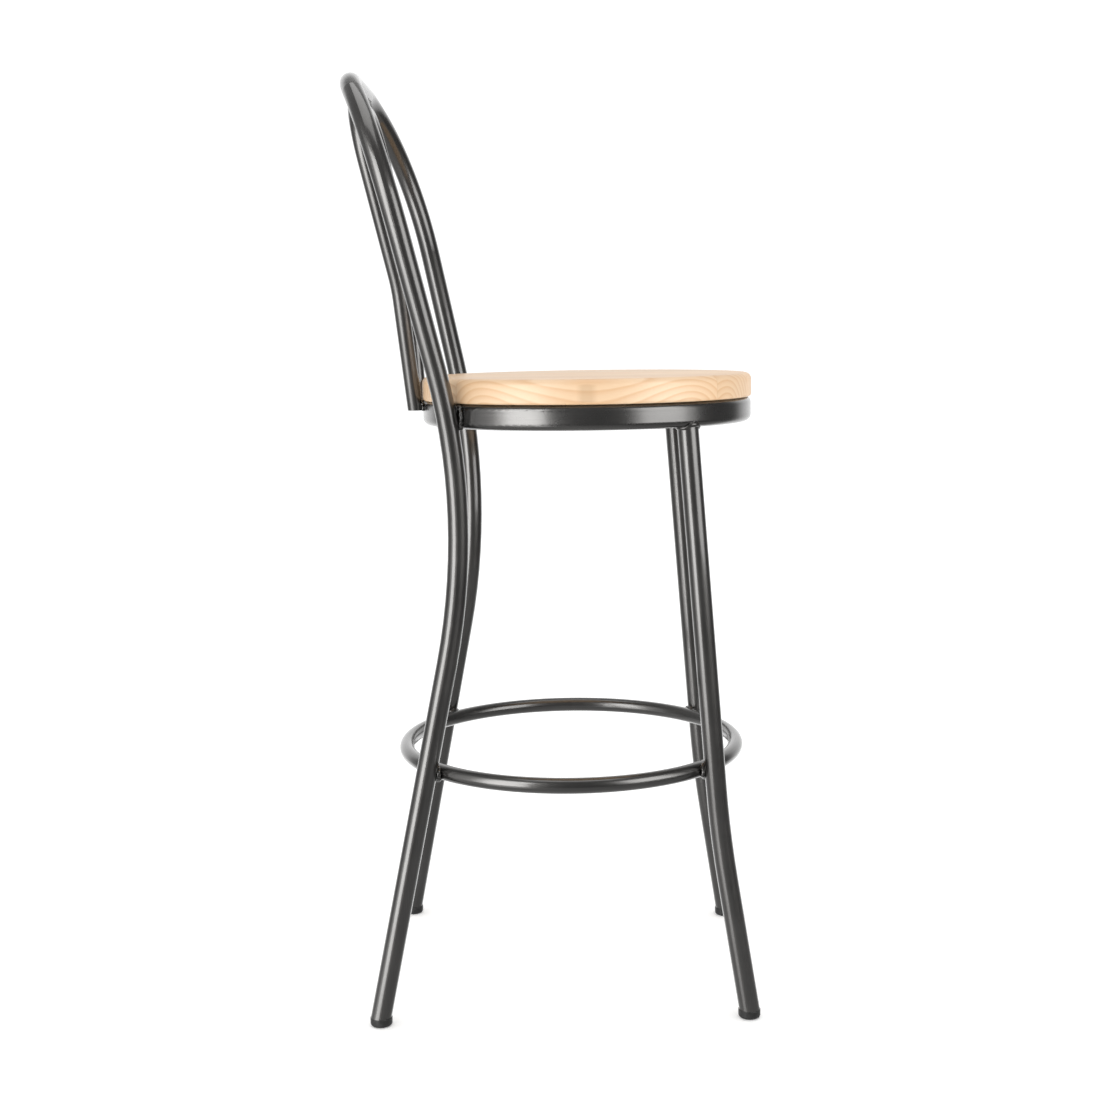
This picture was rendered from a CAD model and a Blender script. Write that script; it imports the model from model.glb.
import bpy
import bmesh
import math
import random
from mathutils import Matrix, Vector, noise


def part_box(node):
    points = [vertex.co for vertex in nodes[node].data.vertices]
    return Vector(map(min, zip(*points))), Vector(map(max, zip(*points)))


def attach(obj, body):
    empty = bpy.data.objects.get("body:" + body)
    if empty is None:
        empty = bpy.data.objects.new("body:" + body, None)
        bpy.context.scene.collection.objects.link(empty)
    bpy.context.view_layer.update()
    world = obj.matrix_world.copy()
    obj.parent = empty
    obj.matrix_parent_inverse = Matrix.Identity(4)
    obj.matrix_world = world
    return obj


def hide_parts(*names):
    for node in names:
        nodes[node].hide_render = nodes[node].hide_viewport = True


# Looks of the bar stool: materials, weld beads, floor, light and camera.
# Lengths are metres in the CAD frame: +Z up, the stool faces -Y, +X is its left.

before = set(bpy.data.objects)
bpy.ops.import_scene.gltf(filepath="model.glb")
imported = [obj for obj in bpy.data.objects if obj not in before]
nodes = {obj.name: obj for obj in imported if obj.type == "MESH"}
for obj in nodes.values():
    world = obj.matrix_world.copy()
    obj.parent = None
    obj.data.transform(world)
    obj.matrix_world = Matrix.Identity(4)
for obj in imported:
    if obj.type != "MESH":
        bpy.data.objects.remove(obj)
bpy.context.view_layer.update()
scene = bpy.context.scene

# ---- places taken from the frame ---------------------------------------------------
ring_low, ring_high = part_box("seat_ring")
rest_low, rest_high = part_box("footrest_ring")
wood_low, wood_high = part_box("wood_seat")
SEAT_AXIS = (ring_low + ring_high) / 2
REST_AXIS = (rest_low + rest_high) / 2
RING_R = (ring_high.x - ring_low.x) / 2
SEAT_R = (wood_high.x - wood_low.x) / 2
REST_TUBE_R = (rest_high.z - rest_low.z) / 2
REST_R = (rest_high.x - rest_low.x) / 2 - REST_TUBE_R
RING_W = 0.025             # depth of the seat ring's box section, towards the axis
RING_CORNER_R = 0.008
MAIN_TUBE_R = 0.0125
SLIM_TUBE_R = 0.0095
SIDES = ("left", "right")


# ---- node helpers --------------------------------------------------------------------
class Nodes:
    """An emptied node tree with short calls for adding nodes."""

    def __init__(self, tree):
        self.tree = tree
        tree.nodes.clear()

    def add(self, kind):
        return self.tree.nodes.new("ShaderNode" + kind)

    def link(self, source, socket):
        self.tree.links.new(source, socket)

    def put(self, socket, value):
        """Set a socket from a number, a colour or another node's output."""
        if isinstance(value, bpy.types.NodeSocket):
            self.link(value, socket)
        else:
            socket.default_value = value

    def calc(self, operation, a, b=0.0, c=0.0):
        n = self.add("Math")
        n.operation = operation
        for socket, value in zip(n.inputs, (a, b, c)):
            self.put(socket, value)
        return n.outputs[0]

    def length(self, a, b):
        """Length of a flat vector."""
        squares = self.calc("ADD", self.calc("MULTIPLY", a, a), self.calc("MULTIPLY", b, b))
        return self.calc("SQRT", squares)

    def split(self, vector):
        n = self.add("SeparateXYZ")
        self.link(vector, n.inputs[0])
        return n.outputs[0], n.outputs[1], n.outputs[2]

    def join(self, x, y, z):
        n = self.add("CombineXYZ")
        for socket, value in zip(n.inputs, (x, y, z)):
            self.put(socket, value)
        return n.outputs[0]

    def spread(self, value, low, high, to_low, to_high, smooth=False):
        """Map a range of values to another range, clamped."""
        n = self.add("MapRange")
        if smooth:
            n.interpolation_type = "SMOOTHSTEP"
        for socket, number in zip(n.inputs, (value, low, high, to_low, to_high)):
            self.put(socket, number)
        return n.outputs[0]


class Shader(Nodes):
    """A new material: one Principled surface and the nodes that feed it."""

    def __init__(self, name):
        self.material = bpy.data.materials.new(name)
        self.material.use_nodes = True
        super().__init__(self.material.node_tree)
        self.surface = self.add("BsdfPrincipled")
        self.link(self.surface.outputs[0], self.add("OutputMaterial").inputs[0])

    def place(self, x=1.0, y=1.0, z=1.0):
        """Position on the object in metres, each axis drawn out by its factor."""
        at = self.add("TexCoord").outputs["Object"]
        if (x, y, z) == (1.0, 1.0, 1.0):
            return at
        n = self.add("VectorMath")
        n.operation = "MULTIPLY"
        self.link(at, n.inputs[0])
        n.inputs[1].default_value = (x, y, z)
        return n.outputs[0]

    def noise(self, vector, scale, detail=2.0, roughness=0.5):
        n = self.add("TexNoise")
        self.link(vector, n.inputs["Vector"])
        n.inputs["Scale"].default_value = scale
        n.inputs["Detail"].default_value = detail
        n.inputs["Roughness"].default_value = roughness
        return n.outputs["Fac"]

    def random(self, number):
        n = self.add("TexWhiteNoise")
        n.noise_dimensions = "1D"
        self.put(n.inputs["W"], number)
        return n.outputs["Value"]

    def mix(self, factor, a, b, kind="MIX"):
        n = self.add("Mix")
        n.data_type = "RGBA"
        n.blend_type = kind
        self.put(n.inputs["Factor"], factor)
        self.put(n.inputs[6], a)
        self.put(n.inputs[7], b)
        return n.outputs[2]

    def bump(self, height, distance, under=None):
        n = self.add("Bump")
        self.link(height, n.inputs["Height"])
        n.inputs["Distance"].default_value = distance
        n.inputs["Strength"].default_value = 1.0
        if under:
            self.link(under, n.inputs["Normal"])
        return n.outputs[0]

    def set(self, **sockets):
        """Set sockets of the surface; words joined by _ name a socket."""
        for name, value in sockets.items():
            self.put(self.surface.inputs[name.replace("_", " ")], value)


# ---- lacquered steel -------------------------------------------------------------------
STEEL_DARK = (0.070, 0.068, 0.066, 1)
STEEL_LIGHT = (0.105, 0.102, 0.098, 1)
GRAIN_SCALE = 900.0        # fine lines of the drawn steel
CLOUD_SCALE = 14.0         # slow change of tone
PEEL_SCALE = 320.0         # waves of the lacquer
PEEL_IN_STEEL = 0.000005   # height of those waves under the lacquer
PEEL_IN_COAT = 0.000004    # and on it
GRAIN_ALONG = 0.02         # how far the grain is drawn out up a tube
GRAIN_ROUND = 0.004        # metres of grain to a radian of a ring
HAZE_RANGE = 0.03


def along_tubes(s):
    """Coordinates with the grain of the steel running up the legs and the back."""
    return s.place(z=GRAIN_ALONG)


def round_ring(centre):
    """Coordinates with the grain of the steel running round a ring."""

    def make(s):
        x, y, z = s.split(s.place())
        dx = s.calc("SUBTRACT", x, centre.x)
        dy = s.calc("SUBTRACT", y, centre.y)
        angle = s.calc("ARCTAN2", dy, dx)
        return s.join(s.length(dx, dy), z, s.calc("MULTIPLY", angle, GRAIN_ROUND))

    return make


def lacquered_steel(name, grain_space, blur, haze):
    """Polished steel under a dark, glossy lacquer; blur and haze are how rough lacquer and steel are."""
    s = Shader(name)
    grain = s.noise(grain_space(s), GRAIN_SCALE, 3.0, 0.6)
    cloud = s.noise(s.place(), CLOUD_SCALE, 3.0)
    peel = s.noise(s.place(), PEEL_SCALE, 1.0)
    tone = s.calc("MULTIPLY_ADD", grain, 0.35, s.calc("MULTIPLY", cloud, 0.65))
    s.set(
        Base_Color=s.mix(s.spread(tone, 0.3, 0.7, 0.0, 1.0), STEEL_DARK, STEEL_LIGHT),
        Metallic=1.0,
        Roughness=s.spread(cloud, 0.2, 0.8, haze - HAZE_RANGE, haze + HAZE_RANGE),
        Normal=s.bump(peel, PEEL_IN_STEEL),
        Coat_Weight=1.0,
        Coat_Roughness=blur,
        Coat_IOR=1.5,
        Coat_Normal=s.bump(peel, PEEL_IN_COAT),
    )
    return s.material


# ---- weld metal, screws and caps ---------------------------------------------------------
WELD_DARK = (0.020, 0.019, 0.018, 1)
WELD_LIGHT = (0.085, 0.082, 0.078, 1)
ZINC_DARK = (0.42, 0.42, 0.44, 1)
ZINC_LIGHT = (0.66, 0.65, 0.62, 1)
PLASTIC_BLACK = (0.012, 0.012, 0.012, 1)
PLASTIC_WORN = (0.030, 0.030, 0.030, 1)


def weld_steel():
    """Rough weld metal under the same lacquer."""
    s = Shader("weld_steel")
    ripple = s.noise(s.place(), 1400.0, 3.0, 0.6)
    soot = s.noise(s.place(), 260.0, 2.0)
    s.set(
        Base_Color=s.mix(soot, WELD_DARK, WELD_LIGHT),
        Metallic=1.0,
        Roughness=s.spread(ripple, 0.3, 0.7, 0.24, 0.42),
        Normal=s.bump(ripple, 0.0001),
        Coat_Weight=1.0,
        Coat_Roughness=0.10,
    )
    return s.material


def zinc_steel():
    """Zinc plated screws."""
    s = Shader("zinc_steel")
    spangle = s.noise(s.place(), 900.0, 3.0)
    s.set(
        Base_Color=s.mix(spangle, ZINC_DARK, ZINC_LIGHT),
        Metallic=1.0,
        Roughness=s.spread(spangle, 0.3, 0.7, 0.26, 0.42),
        Normal=s.bump(spangle, 0.00004),
    )
    return s.material


def cap_plastic():
    """Black moulded plastic with a fine texture."""
    s = Shader("cap_plastic")
    skin = s.noise(s.place(), 2600.0, 2.0)
    scuff = s.noise(s.place(), 160.0, 4.0, 0.7)
    s.set(
        Base_Color=s.mix(s.spread(scuff, 0.45, 0.75, 0.0, 1.0), PLASTIC_BLACK, PLASTIC_WORN),
        Roughness=s.spread(scuff, 0.3, 0.7, 0.38, 0.55),
        Normal=s.bump(skin, 0.00005),
    )
    return s.material


# ---- wood ---------------------------------------------------------------------------------
STAVES = 6
STAVE_W = 2 * SEAT_R / STAVES
YEAR = 0.0075              # spacing of the growth rings
PITH_SPREAD = 0.05         # how far the pith may lie to the side of a stave's middle, both ways together
PITH_BELOW = 0.004         # least depth of the pith under the seat
PITH_DEEPER = 0.02         # what chance adds to that depth
RING_WANDER = 0.022        # how far the growth rings stray
GLUE_W = 0.0004            # half of a glue line
GRAIN_HEIGHT = 0.00004
PORE_HEIGHT = 0.00003
WOOD_PALE = (0.84, 0.64, 0.44, 1)
WOOD_MID = (0.82, 0.56, 0.33, 1)
WOOD_LATE = (0.66, 0.36, 0.155, 1)
WOOD_GLUE = (0.48, 0.29, 0.14, 1)


def lacquered_wood():
    """Pale wood glued up from staves that run front to back, under clear lacquer."""
    s = Shader("lacquered_wood")
    x, _, z = s.split(s.place())
    from_edge = s.calc("ADD", x, SEAT_R)
    stave = s.calc("FLOOR", s.calc("DIVIDE", from_edge, STAVE_W))
    luck = s.random(stave)
    more_luck = s.random(s.calc("ADD", stave, 31.7))
    middle = s.calc("MULTIPLY", s.calc("ADD", stave, 0.5), STAVE_W)
    from_middle = s.calc("SUBTRACT", from_edge, middle)

    # growth rings are cylinders round a pith that runs front to back under the stave
    wander = s.noise(s.place(7.0, 3.2, 7.0), 1.0, 2.0)
    pith_x = s.calc("MULTIPLY", s.calc("SUBTRACT", luck, 0.5), PITH_SPREAD)
    pith_z = s.calc("SUBTRACT", wood_low.z - PITH_BELOW, s.calc("MULTIPLY", more_luck, PITH_DEEPER))
    out = s.length(s.calc("SUBTRACT", from_middle, pith_x), s.calc("SUBTRACT", z, pith_z))
    out = s.calc("ADD", out, s.calc("MULTIPLY", wander, RING_WANDER))
    year = s.calc("FRACT", s.calc("DIVIDE", out, YEAR))
    late = s.calc("MULTIPLY", s.calc("POWER", year, 2.0), s.spread(year, 0.80, 1.0, 1.0, 0.0))

    fibre = s.noise(s.place(y=0.018), 900.0, 4.0, 0.65)
    pore = s.noise(s.place(y=0.05), 2600.0, 2.0, 0.5)
    cloud = s.noise(s.place(y=0.4), 12.0, 3.0)

    colour = s.mix(s.spread(cloud, 0.3, 0.7, 0.0, 1.0), WOOD_PALE, WOOD_MID)
    colour = s.mix(s.calc("MULTIPLY", late, 0.85), colour, WOOD_LATE)
    colour = s.mix(s.spread(fibre, 0.35, 0.75, 0.0, 0.16), colour, WOOD_LATE)
    shade = s.spread(luck, 0.0, 1.0, 0.95, 1.03)
    colour = s.mix(1.0, colour, s.join(shade, shade, shade), "MULTIPLY")
    off_middle = s.calc("ABSOLUTE", from_middle)
    glue = s.spread(off_middle, STAVE_W / 2 - GLUE_W, STAVE_W / 2, 0.0, 0.4)

    grain = s.calc("ADD", s.calc("MULTIPLY", fibre, 0.6), s.calc("MULTIPLY", late, 0.4))
    s.set(
        Base_Color=s.mix(glue, colour, WOOD_GLUE),
        Roughness=s.spread(fibre, 0.3, 0.7, 0.50, 0.60),
        Specular_IOR_Level=0.4,
        Normal=s.bump(pore, PORE_HEIGHT, s.bump(grain, GRAIN_HEIGHT)),
        Coat_Weight=0.45,
        Coat_Roughness=0.34,
        Coat_IOR=1.5,
    )
    return s.material


# ---- which node has which material --------------------------------------------------------
upright_steel = lacquered_steel("upright_steel", along_tubes, 0.10, 0.33)
seat_ring_steel = lacquered_steel("seat_ring_steel", round_ring(SEAT_AXIS), 0.20, 0.27)
footrest_steel = lacquered_steel("footrest_steel", round_ring(REST_AXIS), 0.14, 0.30)
bead_steel = weld_steel()

FINISHES = (
    ("outer_frame", upright_steel),
    ("inner_hoop", upright_steel),
    ("front_leg", upright_steel),
    ("seat_ring", seat_ring_steel),
    ("footrest_ring", footrest_steel),
    ("seat_tab", seat_ring_steel),
    ("weld", bead_steel),
    ("seat_screw", zinc_steel()),
    ("foot_cap", cap_plastic()),
    ("wood_seat", lacquered_wood()),
)
for name, node in nodes.items():
    for start, material in FINISHES:
        if name.startswith(start):
            node.data.materials.clear()
            node.data.materials.append(material)

# ---- weld beads -----------------------------------------------------------------------------
WELD_SEED = 11
BEAD_VOXEL = 0.0006
BEAD_ROUGH = 0.00045       # height of the ripples on a bead
BEAD_SOFT = 1              # how often a bead is smoothed
COLLAR_ROUGH = 0.00008     # the round at the top of a front leg is smoother
COLLAR_SOFT = 6
RIPPLE_SCALE = 420.0
FINE_RIPPLE_SCALE = 1100.0
# along a tube that stands against the ring: how far each row of drops lies beside the tube's
# middle and outside the ring, and the radius of a drop
MAIN_GROOVE = (0.0104, 0.0013, 0.0031)
SLIM_GROOVE = (0.0080, 0.0010, 0.0025)
GROOVE_STEP = 0.0031
GROOVE_START = 0.0015      # first drop above the lower end
GROOVE_END = 0.0035        # last drop below the ring's top
# where a leg passes the footrest ring
CROSSING_HALF_W = 0.0112
CROSSING_HALF_H = 0.0078
CROSSING_DROP_R = 0.0030
CROSSING_DROPS = 30
# round the top of a front leg
COLLAR_CLEAR = 0.0003      # how far the drops lie outside the leg
COLLAR_LOW = 0.0006        # and below the ring
COLLAR_SINK = 0.0020       # more of that at the top of the ring's corner
COLLAR_TAIL = 0.0016       # the smaller drops under them
COLLAR_DROP_R = 0.0020
COLLAR_DROPS = 56
# between the tops of the arch and the hoop
CROWN_REACH = 0.024        # half the length
CROWN_STEP = 0.0026
CROWN_DROP_R = 0.0028
CROWN_OUTER = 0.0078       # rows of drops, from the seam
CROWN_INNER = 0.0040


def blend_drops(name, drops, rough, soft):
    """One mesh from overlapping drops of (centre, radius), rippled."""
    bm = bmesh.new()
    for centre, radius in drops:
        place = Matrix.Translation(centre)
        bmesh.ops.create_icosphere(bm, subdivisions=2, radius=radius, matrix=place)
    raw = bpy.data.meshes.new(name + "_drops")
    bm.to_mesh(raw)
    bm.free()
    piece = bpy.data.objects.new(name, raw)
    scene.collection.objects.link(piece)
    remesh = piece.modifiers.new("remesh", "REMESH")
    remesh.mode = "VOXEL"
    remesh.voxel_size = BEAD_VOXEL
    bpy.context.view_layer.update()
    seen = piece.evaluated_get(bpy.context.evaluated_depsgraph_get())
    mesh = bpy.data.meshes.new_from_object(seen)
    piece.modifiers.clear()
    piece.data = mesh
    bpy.data.meshes.remove(raw)

    every_axis = {"use_axis_x": True, "use_axis_y": True, "use_axis_z": True}
    bm = bmesh.new()
    bm.from_mesh(mesh)
    for _ in range(soft):
        bmesh.ops.smooth_vert(bm, verts=bm.verts, factor=0.5, **every_axis)
    bm.normal_update()
    for v in bm.verts:
        ripple = noise.noise(v.co * RIPPLE_SCALE) + 0.5 * noise.noise(v.co * FINE_RIPPLE_SCALE)
        v.co += v.normal * ripple * rough
    for face in bm.faces:
        face.smooth = True
    bm.to_mesh(mesh)
    bm.free()
    mesh.materials.clear()
    mesh.materials.append(bead_steel)
    return piece


def add_bead(node, drops, rough=BEAD_ROUGH, soft=BEAD_SOFT):
    """Put a blended bead in place of a CAD weld node."""
    piece = blend_drops("bead_" + node, drops, rough, soft)
    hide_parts(node)
    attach(piece, "root")


def up(z):
    return Vector((0, 0, z))


def node_middle(node):
    node_low, node_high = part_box(node)
    return (node_low + node_high) / 2


def directions(middle, axis):
    """Outward and sideways directions at a point, seen from a ring's axis."""
    out = Vector((middle.x - axis.x, middle.y - axis.y, 0)).normalized()
    return out, Vector((-out.y, out.x, 0))


def upright_bead(node, luck, groove, lower_end):
    """Two rows of drops up the grooves on both sides of a tube that stands against the seat ring."""
    sideways, off, radius = groove
    out, side = directions(node_middle(node), SEAT_AXIS)
    foot = Vector((SEAT_AXIS.x, SEAT_AXIS.y, 0)) + out * (RING_R + off)
    z_low = lower_end + GROOVE_START
    z_high = ring_high.z - GROOVE_END
    drops = []
    for k in range(int((z_high - z_low) / GROOVE_STEP) + 1):
        z = z_low + GROOVE_STEP * k
        for way in (-1, 1):
            jitter = side * luck.uniform(-0.0014, 0.0014) + out * luck.uniform(-0.0004, 0.0006)
            spot = foot + side * way * sideways + jitter + up(z)
            drops.append((spot, radius * luck.uniform(0.68, 0.98)))
            drops.append((foot + side * way * sideways * 0.70 + up(z), radius * 0.9))
    return drops


def crossing_bead(node, luck):
    """A closed row of drops round the place where a leg passes the footrest ring."""
    middle = node_middle(node)
    out, side = directions(middle, REST_AXIS)
    touch = Vector((REST_AXIS.x, REST_AXIS.y, middle.z)) + out * (REST_R + REST_TUBE_R)
    drops = []
    for k in range(CROSSING_DROPS):
        a = 2 * math.pi * k / CROSSING_DROPS
        t = CROSSING_HALF_W * math.cos(a)
        h = CROSSING_HALF_H * math.sin(a)
        leg_gap = MAIN_TUBE_R - math.sqrt(MAIN_TUBE_R ** 2 - t * t)
        rest_gap = REST_TUBE_R - math.sqrt(REST_TUBE_R ** 2 - h * h)
        spot = touch + side * t + out * (leg_gap - rest_gap) / 2 + up(h)
        spot += side * luck.uniform(-0.0006, 0.0006) + up(luck.uniform(-0.0006, 0.0006))
        drops.append((spot, CROSSING_DROP_R * luck.uniform(0.85, 1.15)))
        drops.append((touch + (spot - touch) * 0.55, CROSSING_DROP_R * 0.9))
    return drops


def ring_underside(spot):
    """Height of the ring's rounded underside above a point."""
    from_axis = math.hypot(spot.x - SEAT_AXIS.x, spot.y - SEAT_AXIS.y)
    off = abs(from_axis - (RING_R - RING_W / 2))
    into_corner = min(max(0.0, off - (RING_W / 2 - RING_CORNER_R)), RING_CORNER_R * 0.95)
    return ring_low.z + RING_CORNER_R - math.sqrt(RING_CORNER_R ** 2 - into_corner ** 2)


def collar_bead(node, luck):
    """A round of drops where a front leg meets the rounded underside of the ring."""
    middle = node_middle(node)
    reach = MAIN_TUBE_R + COLLAR_CLEAR
    drops = []
    for k in range(COLLAR_DROPS):
        a = 2 * math.pi * k / COLLAR_DROPS
        spot = Vector((middle.x + reach * math.cos(a), middle.y + reach * math.sin(a), 0))
        height = ring_underside(spot)
        climb = (height - ring_low.z) / RING_CORNER_R
        spot.z = height - COLLAR_LOW - COLLAR_SINK * climb
        radius = COLLAR_DROP_R * (1 + 0.6 * climb)
        drops.append((spot, radius * luck.uniform(0.97, 1.05)))
        drops.append((spot - up(COLLAR_TAIL), radius * 0.62))
    return drops


def crown_bead(luck):
    """Rows of drops along the grooves in front of and behind the touching tops of arch and hoop."""
    arch_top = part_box("outer_frame")[1]
    hoop_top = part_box("inner_hoop")[1]
    arch = Vector((0, arch_top.y - MAIN_TUBE_R, arch_top.z - MAIN_TUBE_R))
    hoop = Vector((0, hoop_top.y - SLIM_TUBE_R, hoop_top.z - SLIM_TUBE_R))
    toward = (hoop - arch).normalized()
    across = toward.cross(Vector((1, 0, 0))).normalized()
    seam = arch + toward * (MAIN_TUBE_R + 0.0006)
    drops = []
    for k in range(int(2 * CROWN_REACH / CROWN_STEP) + 1):
        along = Vector((-CROWN_REACH + CROWN_STEP * k, 0, 0))
        for way in (-1, 1):
            jitter = across * luck.uniform(-0.0006, 0.0006)
            outer = seam + along + across * way * CROWN_OUTER + jitter
            drops.append((outer, CROWN_DROP_R * luck.uniform(0.85, 1.12)))
            drops.append((seam + along + across * way * CROWN_INNER, CROWN_DROP_R * 0.8))
    return drops


def make_welds():
    luck = random.Random(WELD_SEED)
    hoop_low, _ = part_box("inner_hoop")
    for side in SIDES:
        node = "weld_ring_rear_" + side
        add_bead(node, upright_bead(node, luck, MAIN_GROOVE, ring_low.z))
        node = "weld_hoop_" + side
        add_bead(node, upright_bead(node, luck, SLIM_GROOVE, hoop_low.z))
        for end in ("rear", "front"):
            node = "weld_rest_%s_%s" % (end, side)
            add_bead(node, crossing_bead(node, luck))
        node = "weld_ring_front_" + side
        add_bead(node, collar_bead(node, luck), COLLAR_ROUGH, COLLAR_SOFT)
    add_bead("weld_crown", crown_bead(luck))


make_welds()

# ---- floor -----------------------------------------------------------------------------------
FLOOR_R = 9.0
FLOOR_DROP = 0.0002        # under the feet, so that no two faces share a plane
FLOOR_GLOW = 0.2


def pale_floor():
    """Matt white studio floor that glows a little, as if lit from all round."""
    s = Shader("pale_floor")
    s.set(
        Base_Color=(0.97, 0.97, 0.965, 1),
        Roughness=0.95,
        Specular_IOR_Level=0.0,
        Emission_Color=(1, 1, 1, 1),
        Emission_Strength=FLOOR_GLOW,
    )
    return s.material


def make_floor():
    """A round floor; the lacquer shows floor_glow lights in its place."""
    mesh = bpy.data.meshes.new("floor")
    bm = bmesh.new()
    bmesh.ops.create_circle(bm, cap_ends=True, segments=96, radius=FLOOR_R)
    bm.to_mesh(mesh)
    bm.free()
    floor = bpy.data.objects.new("floor", mesh)
    floor.location.z = -FLOOR_DROP
    floor.visible_glossy = False
    floor.visible_shadow = False
    mesh.materials.append(pale_floor())
    scene.collection.objects.link(floor)


make_floor()

# ---- light ---------------------------------------------------------------------------------------
# These lights show only as reflections; the world gives the diffuse light.
SOFTBOX_DISTANCE = 1.9
SOFTBOX_TOP = 2.1
REAR_AZIMUTH = -40.5
REAR_WIDTH = 29
# bottom, top and radiance of the panels that fade the rear light out near the floor
REAR_PANELS = (
    (-0.90, -0.42, 1.2),
    (-0.42, -0.22, 2.0),
    (-0.22, -0.05, 3.7),
    (-0.05, 0.10, 4.9),
    (0.10, SOFTBOX_TOP, 5.7),
)
# azimuth and width in degrees, bottom and radiance of the rest
SOFTBOXES = (
    ("softbox_rear_edge", -58, 6, -0.40, 2.2),
    ("softbox_rear_feather", -70, 18, -0.40, 0.6),
    ("softbox_front_quarter", 52, 32, 0.42, 3.9),
    ("softbox_front_inner_edge", 33, 6, 0.42, 1.3),
    ("softbox_front_outer_edge", 72, 8, 0.42, 1.5),
)
OVERHEAD_HEIGHT = 2.9
OVERHEAD_SIZE = 1.8
OVERHEAD_RADIANCE = 1.5
# diameter and radiance of round patches of lit floor
FLOOR_PATCHES = ((1.6, 0.25), (3.2, 0.20))


def area_light(name, shape, size, area, radiance, location):
    """Soft light of even radiance that only glossy surfaces see; it shines down until it is turned."""
    data = bpy.data.lights.new(name, "AREA")
    data.shape = shape
    data.size = size
    data.energy = radiance * math.pi * area
    lamp = bpy.data.objects.new(name, data)
    lamp.location = location
    lamp.visible_camera = False
    lamp.visible_diffuse = False
    scene.collection.objects.link(lamp)
    return lamp


def softbox(name, azimuth, width, bottom, top, radiance):
    """A tall light that faces the stool; azimuth in degrees from -X, positive to the front."""
    a = math.radians(azimuth)
    out = Vector((-math.cos(a), -math.sin(a), 0))
    size = 2 * SOFTBOX_DISTANCE * math.tan(math.radians(width) / 2)
    height = top - bottom
    middle = out * SOFTBOX_DISTANCE + up((top + bottom) / 2)
    lamp = area_light(name, "RECTANGLE", size, size * height, radiance, middle)
    lamp.data.size_y = height
    lamp.rotation_euler = (-out).to_track_quat("-Z", "Y").to_euler()


def make_lights():
    for k, (bottom, top, radiance) in enumerate(REAR_PANELS):
        softbox("softbox_rear_quarter_%d" % k, REAR_AZIMUTH, REAR_WIDTH, bottom, top, radiance)
    for name, azimuth, width, bottom, radiance in SOFTBOXES:
        softbox(name, azimuth, width, bottom, SOFTBOX_TOP, radiance)
    area_light("softbox_overhead", "SQUARE", OVERHEAD_SIZE, OVERHEAD_SIZE ** 2, OVERHEAD_RADIANCE,
               up(OVERHEAD_HEIGHT))
    for size, radiance in FLOOR_PATCHES:
        area = math.pi * size * size / 4
        lamp = area_light("floor_glow", "DISK", size, area, radiance, up(-0.001))
        lamp.rotation_euler = (math.pi, 0, 0)


make_lights()

# ---- world ---------------------------------------------------------------------------------------
WHITE = 1.13               # what the eye and diffuse light see
ROOM_BEHIND_CAMERA = 0.20  # the rest is what the lacquer sees
ROOM_BEHIND_STOOL = 0.34
FRONT_SHADE = 0.40
SWEEP = 0.75


def make_world():
    """White to the eye and for diffuse light; in reflections, a dim room with a white sweep behind."""
    world = bpy.data.worlds.new("studio")
    world.use_nodes = True
    w = Nodes(world.node_tree)

    def background(strength):
        n = w.add("Background")
        n.inputs["Color"].default_value = (1, 1, 1, 1)
        w.put(n.inputs["Strength"], strength)
        return n.outputs[0]

    x, y, z = w.split(w.add("TexCoord").outputs["Generated"])
    behind = w.spread(x, 0.55, 0.75, 0.0, 1.0, smooth=True)
    not_high = w.spread(z, 0.45, 0.85, 1.0, 0.0, smooth=True)
    room = w.spread(x, -1.0, 0.3, ROOM_BEHIND_CAMERA, ROOM_BEHIND_STOOL, smooth=True)
    room = w.calc("MULTIPLY", room, w.spread(y, -0.9, 0.0, FRONT_SHADE, 1.0, smooth=True))
    sweep = w.calc("MULTIPLY", behind, not_high)
    seen_in_gloss = w.calc("MULTIPLY_ADD", sweep, SWEEP, room)

    gloss = w.add("MixShader")
    w.link(w.add("LightPath").outputs["Is Glossy Ray"], gloss.inputs[0])
    w.link(background(WHITE), gloss.inputs[1])
    w.link(background(seen_in_gloss), gloss.inputs[2])
    w.link(gloss.outputs[0], w.add("OutputWorld").inputs[0])
    scene.world = world


make_world()
scene.view_settings.view_transform = "Standard"
scene.view_settings.look = "None"

# ---- camera ------------------------------------------------------------------------------------------
CAMERA_AT = Vector((-2.0873, -0.0368, 0.8286))
CAMERA_HEADING = 1.203     # degrees from +X towards +Y
CAMERA_DIP = 7.661         # degrees below the horizon
CAMERA_ROLL = -0.877       # degrees
CAMERA_LENS = 54.146       # millimetres, as is the sensor
CAMERA_SENSOR = 36.0


def make_camera():
    heading, dip, roll = (math.radians(v) for v in (CAMERA_HEADING, CAMERA_DIP, CAMERA_ROLL))
    ahead = Vector((
        math.cos(dip) * math.cos(heading),
        math.cos(dip) * math.sin(heading),
        -math.sin(dip),
    ))
    level = ahead.cross(up(1)).normalized()
    rise = level.cross(ahead)
    right = level * math.cos(roll) + rise * math.sin(roll)
    top = rise * math.cos(roll) - level * math.sin(roll)
    data = bpy.data.cameras.new("camera")
    data.lens = CAMERA_LENS
    data.sensor_width = CAMERA_SENSOR
    camera = bpy.data.objects.new("camera", data)
    turn = Matrix((right, top, -ahead)).transposed()
    camera.matrix_world = Matrix.Translation(CAMERA_AT) @ turn.to_4x4()
    scene.collection.objects.link(camera)
    scene.camera = camera


make_camera()
